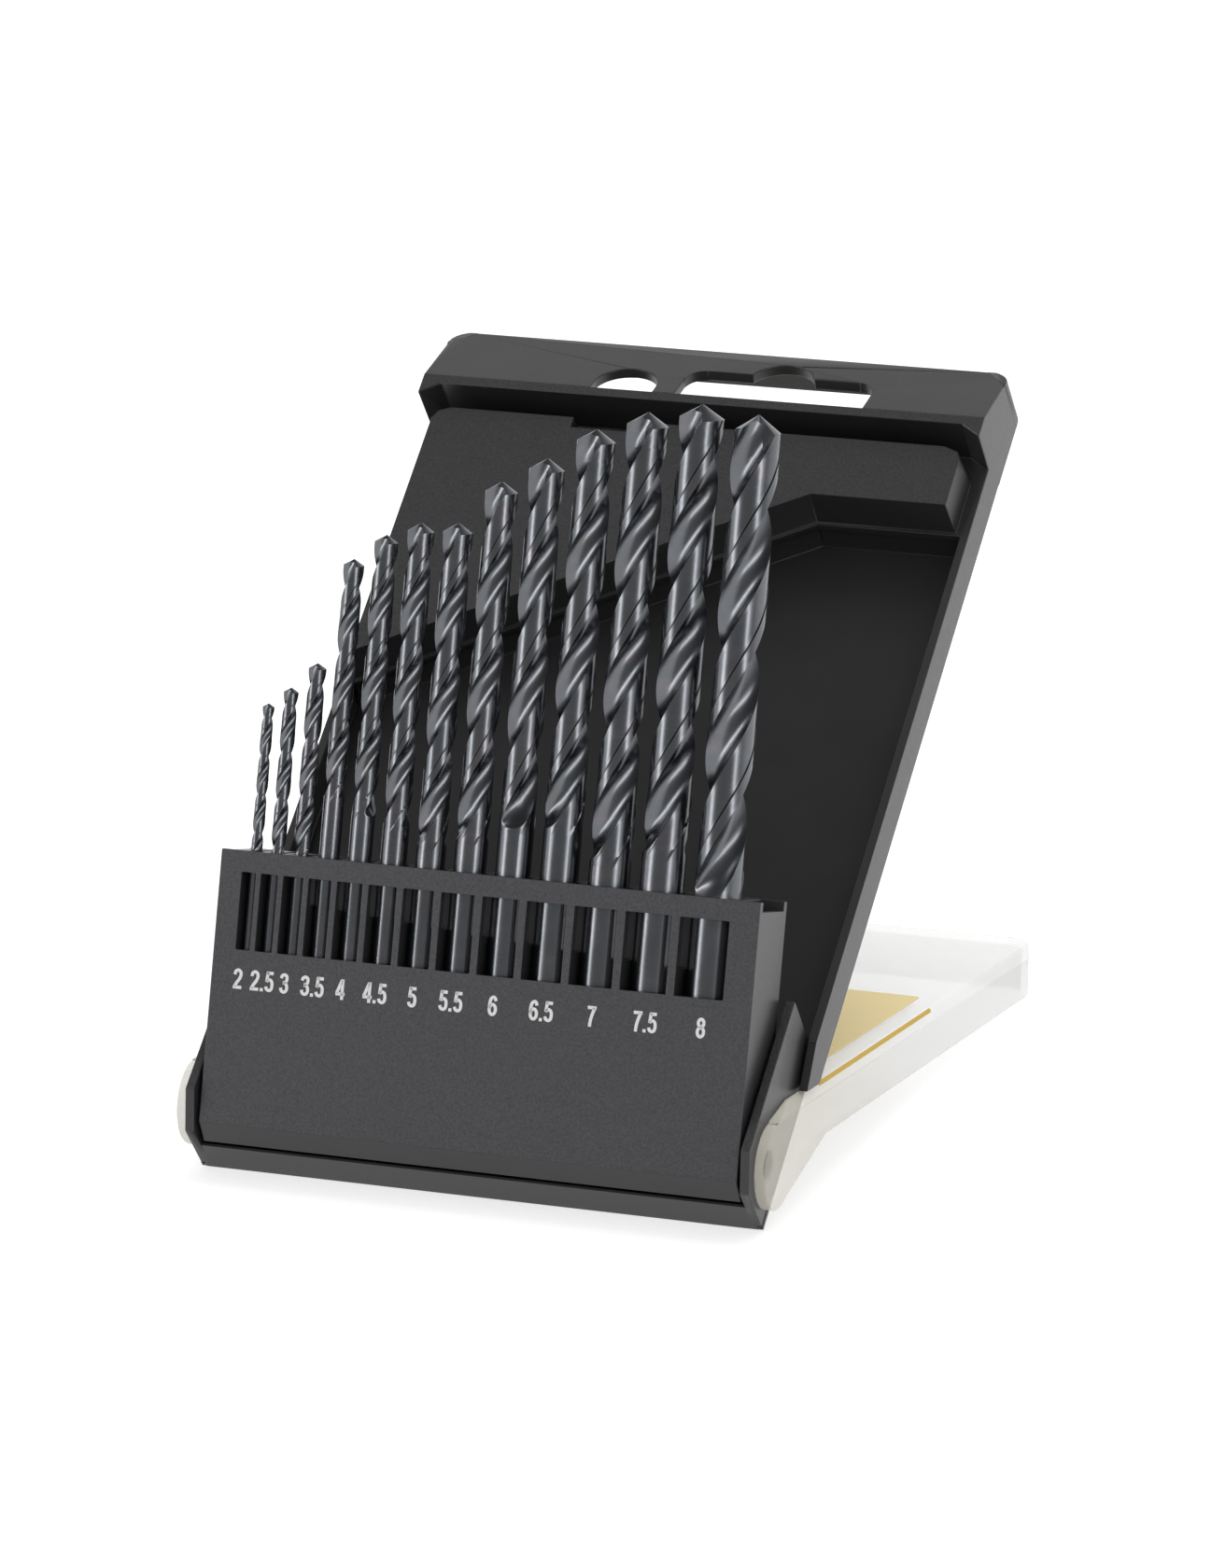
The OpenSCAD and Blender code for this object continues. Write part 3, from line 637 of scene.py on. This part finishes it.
# Middle lines of each figure's strokes, in a cell one unit tall
FIGURES = {
    ".": [[(0, 0.08), (0.16, 0.08)]],
    "2": [through([(0.08, 0.69), (0.11, 0.84), (0.24, 0.92), (0.37, 0.84), (0.395, 0.69),
                   (0.33, 0.50), (0.19, 0.29), (0.09, 0.10)], 5), [(0.01, 0.08), (0.46, 0.08)]],
    "3": [through([(0.08, 0.74), (0.12, 0.86), (0.24, 0.92), (0.36, 0.86), (0.38, 0.71),
                   (0.32, 0.58), (0.18, 0.53)], 5),
          through([(0.18, 0.53), (0.34, 0.48), (0.40, 0.31), (0.36, 0.14), (0.24, 0.08),
                   (0.12, 0.14), (0.08, 0.28)], 5)],
    "4": [[(0.34, 0), (0.34, 1)], [(0.0, 0.28), (0.48, 0.28)], [(0.31, 0.97), (0.06, 0.31)]],
    "5": [[(0.09, 0.92), (0.44, 0.92)], [(0.15, 0.97), (0.11, 0.48)],
          through([(0.10, 0.50), (0.23, 0.60), (0.36, 0.53), (0.40, 0.34), (0.36, 0.14),
                   (0.24, 0.08), (0.12, 0.14), (0.08, 0.26)], 5)],
    "6": [oval(0.24, 0.32, 0.16, 0.24),
          through([(0.39, 0.74), (0.35, 0.87), (0.25, 0.92), (0.13, 0.82), (0.085, 0.60),
                   (0.08, 0.36)], 5)],
    "7": [[(0.02, 0.92), (0.47, 0.92)],
          through([(0.38, 0.9), (0.28, 0.62), (0.21, 0.33), (0.18, 0)], 4)],
    "8": [oval(0.24, 0.735, 0.14, 0.185), oval(0.24, 0.30, 0.16, 0.22)],
}


def ribbon(line, width):
    """A flat stroke of one width along a line: its points and faces."""
    line = np.array(line, float)
    run = np.gradient(line, axis=0)
    side = np.stack([-run[:, 1], run[:, 0]], 1) / np.linalg.norm(run, axis=1)[:, None] * width / 2
    points = np.concatenate([line + side, line - side])
    n = len(line)
    return points, [(k, n + k, n + k + 1, k + 1) for k in range(n - 1)]


def printed_sizes():
    """The bit sizes, pad-printed in white under the windows."""
    front = local_box("bit_rack", RACK_LEAN)[0].y
    verts, faces = [], []
    for node, middle in zip(BITS, PRINT_X):
        whole, tenth = node.split("_")[2:]
        text = whole if tenth == "0" else f"{whole}.{tenth}"
        widths = [POINT_WIDTH if c == "." else GLYPH_WIDTH for c in text]
        x = -(sum(widths) + GLYPH_GAP * (len(text) - 1)) / 2
        for figure, wide in zip(text, widths):
            for line in FIGURES[figure]:
                points, strips = ribbon(line, STROKE)
                faces += [tuple(len(verts) + k for k in strip) for strip in strips]
                verts += [((middle + (x + px) * PRINT_HEIGHT) * MM, front - INK_THICKNESS * MM,
                           (PRINT_FOOT + pz * PRINT_HEIGHT) * MM) for px, pz in points]
            x += wide + GLYPH_GAP
    mesh = bpy.data.meshes.new("printed_sizes")
    mesh.from_pydata(verts, [], faces)
    mesh.transform(leaning(RACK_LEAN))
    mesh.materials.append(INK)
    return link("printed_sizes", mesh, "rack")


printed_sizes()

# ---- Studio --------------------------------------------------------------------------------

PHOTO_TALL = 1680  # pixels of the photograph's long side
FOCAL = 8290  # focal length, in those pixels
CAMERA_AZIMUTH, CAMERA_FALL = math.radians(20.08), math.radians(15.30)
CAMERA_PLACE = Vector((0.4435, -1.22223, 0.40955))
SENSOR = 36.0


def camera():
    data = bpy.data.cameras.new("camera")
    data.sensor_fit, data.sensor_width = "AUTO", SENSOR
    data.lens = FOCAL / PHOTO_TALL * SENSOR
    data.clip_start, data.clip_end = 0.05, 50
    eye = bpy.data.objects.new("camera", data)
    bpy.context.scene.collection.objects.link(eye)
    eye.location = CAMERA_PLACE
    eye.rotation_euler = (math.pi / 2 - CAMERA_FALL, 0, CAMERA_AZIMUTH)
    bpy.context.scene.camera = eye


AIM = Vector((0, 0, 0.06))


def softbox(name, place, wide, tall, power, in_gloss):
    """A rectangular lamp that looks at the case. It shows only in gloss, or only off gloss."""
    data = bpy.data.lights.new(name, "AREA")
    data.shape, data.size, data.size_y, data.energy = "RECTANGLE", wide, tall, power
    lamp = bpy.data.objects.new(name, data)
    bpy.context.scene.collection.objects.link(lamp)
    lamp.location = place
    lamp.rotation_euler = (AIM - Vector(place)).to_track_quat("-Z", "Y").to_euler()
    lamp.visible_diffuse, lamp.visible_glossy = not in_gloss, in_gloss
    lamp.visible_camera = False


def around(degrees, distance, height):
    """A place round the case: 0 is in front of it, along -Y, and 90 to its right."""
    a = math.radians(degrees)
    return (distance * math.sin(a), -distance * math.cos(a), height)


GLOSS_FRONT, GLOSS_ABOVE = 0.35, 0.3  # how bright the room's front and ceiling show in gloss
MATT_LEVEL = 0.79  # what the white studio gives matt surfaces
FLOOR_GLOW = 0.7  # how much of the floor's white is its own glow, on which no shadow falls


def seen_white(tree):
    """1 where the camera sees it, or gloss reflects or clear plastic shows it, and else 0."""
    ray = add(tree, "ShaderNodeLightPath")
    seen = add(tree, "ShaderNodeMath", {0: ray.outputs["Is Camera Ray"],
                                        1: ray.outputs["Is Glossy Ray"]}, operation="MAXIMUM")
    return add(tree, "ShaderNodeMath", {0: seen.outputs[0], 1: ray.outputs["Is Transmission Ray"]},
               operation="MAXIMUM").outputs[0]


def white_world():
    """A white studio. In gloss its front is dim, as a dark room behind the camera is."""
    world = bpy.data.worlds.new("studio")
    bpy.context.scene.world = world
    world.use_nodes = True
    tree = world.node_tree
    tree.nodes.clear()
    ray = add(tree, "ShaderNodeLightPath")
    way = add(tree, "ShaderNodeSeparateXYZ", {
        "Vector": add(tree, "ShaderNodeTexCoord").outputs["Generated"]})
    behind = add(tree, "ShaderNodeMapRange", {"Value": way.outputs["Y"], "From Min": -0.1,
                                              "From Max": 0.5, "To Min": GLOSS_FRONT})
    above = add(tree, "ShaderNodeMapRange", {"Value": way.outputs["Z"], "From Min": 0.35,
                                             "From Max": 0.85, "To Min": 1.0,
                                             "To Max": GLOSS_ABOVE})
    gloss = add(tree, "ShaderNodeMath", {0: behind.outputs["Result"], 1: above.outputs["Result"]},
                operation="MULTIPLY")
    level = add(tree, "ShaderNodeMix", {0: ray.outputs["Is Glossy Ray"], 2: 1.0,
                                        3: gloss.outputs[0]}, data_type="FLOAT")
    light = add(tree, "ShaderNodeMix", {0: seen_white(tree), 2: MATT_LEVEL,
                                        3: level.outputs[0]}, data_type="FLOAT")
    glow = add(tree, "ShaderNodeBackground", {"Color": srgb("#ffffff"),
                                              "Strength": light.outputs[0]})
    add(tree, "ShaderNodeOutputWorld", {"Surface": glow.outputs["Background"]})


def floor():
    """A pale floor that keeps the case's shadow and otherwise reads as white."""
    material, tree = new_material("pale_studio_floor")
    glow = add(tree, "ShaderNodeMath", {0: seen_white(tree), 1: FLOOR_GLOW},
               operation="MULTIPLY")
    skin = add(tree, "ShaderNodeBsdfPrincipled", {
        "Base Color": srgb("#b4b4b3"), "Roughness": 0.9, "Emission Color": srgb("#ffffff"),
        "Emission Strength": glow.outputs[0]})
    add(tree, "ShaderNodeOutputMaterial", {"Surface": skin.outputs["BSDF"]})
    mesh = bpy.data.meshes.new("floor")
    reach, drop = 6.0, -0.0002
    mesh.from_pydata([(-reach, -reach, drop), (reach, -reach, drop), (reach, reach, drop),
                      (-reach, reach, drop)], [], [(0, 1, 2, 3)])
    mesh.materials.append(material)
    plane = bpy.data.objects.new("floor", mesh)
    bpy.context.scene.collection.objects.link(plane)


camera()
white_world()
floor()
softbox("left_glow", around(-60, 1.0, 0.35), 0.9, 1.0, 2.2, True)
softbox("left_streak", around(-50, 1.0, 0.35), 0.26, 1.0, 3.4, True)
softbox("right_glow", around(55, 1.0, 0.35), 0.5, 1.0, 1.2, True)
softbox("right_streak", around(52, 1.0, 0.35), 0.16, 1.0, 2.2, True)
softbox("overhead", (0.15, 0.35, 1.1), 0.9, 0.9, 6.5, False)
bpy.context.scene.view_settings.view_transform = "Standard"
